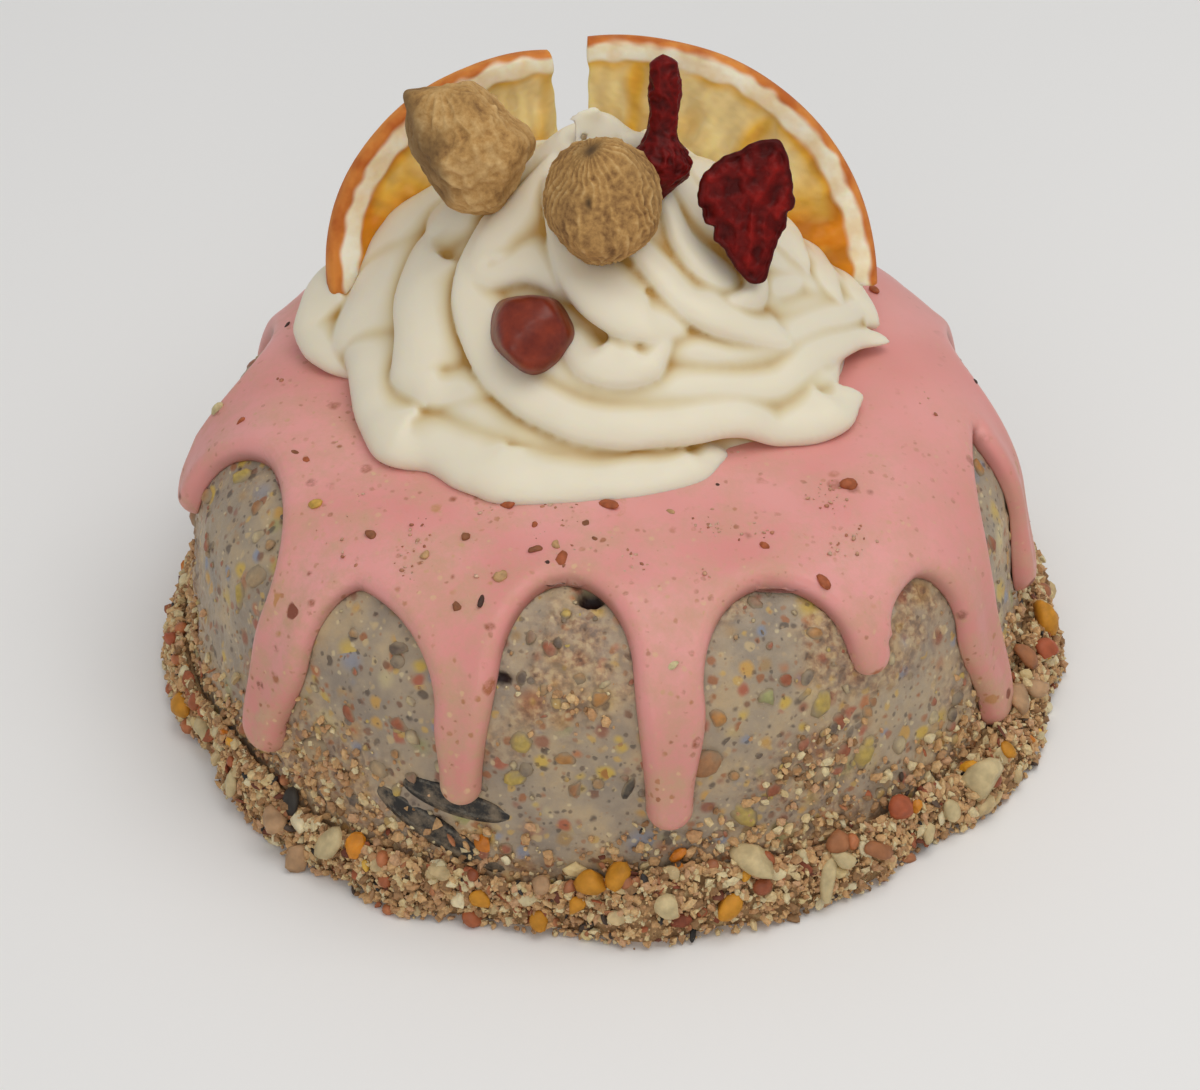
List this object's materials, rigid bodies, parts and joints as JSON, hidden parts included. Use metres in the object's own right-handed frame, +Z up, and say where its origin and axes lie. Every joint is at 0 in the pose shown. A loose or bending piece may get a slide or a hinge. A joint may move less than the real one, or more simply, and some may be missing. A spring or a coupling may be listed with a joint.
{
  "type": "drip cake",
  "caption": "Small pudding-shaped seed cake with a pink poured icing and drips, a crumb collar, a piped cream swirl, dried orange quarters, peanuts and dried cranberries.",
  "frame": {"origin": "centre of the cake's flat base", "axes": "+Z up out of the cream's peak, -Y towards the front that shows the drips and the peanuts, +X to the right of someone who looks at that front"},
  "size_m": [0.1388, 0.1395, 0.0973],
  "materials": {
    "seeded_fat": "greasy, translucent grey fat with seeds set in it",
    "pink_icing": "smooth, softly glossy",
    "crumbs": "rough nut and seed crumbs",
    "cream": "smooth, satin",
    "dried_orange": "dry, slightly translucent",
    "peanut_shell": "rough, netted ridges",
    "peanut_skin": "papery skin, satin",
    "dried_cranberry": "wrinkled, sticky gloss"
  },
  "bodies": {
    "root": {"cake_body": "seeded_fat", "pink_icing": "pink_icing", "crumb_collar": "crumbs", "cream_swirl": "cream", "orange_quarter_left": "dried_orange", "orange_quarter_right": "dried_orange", "peanut_shell_left": "peanut_shell", "peanut_shell_right": "peanut_shell", "peanut_kernel": "peanut_skin", "cranberry_left": "dried_cranberry", "cranberry_right": "dried_cranberry"}
  },
  "joints": []
}
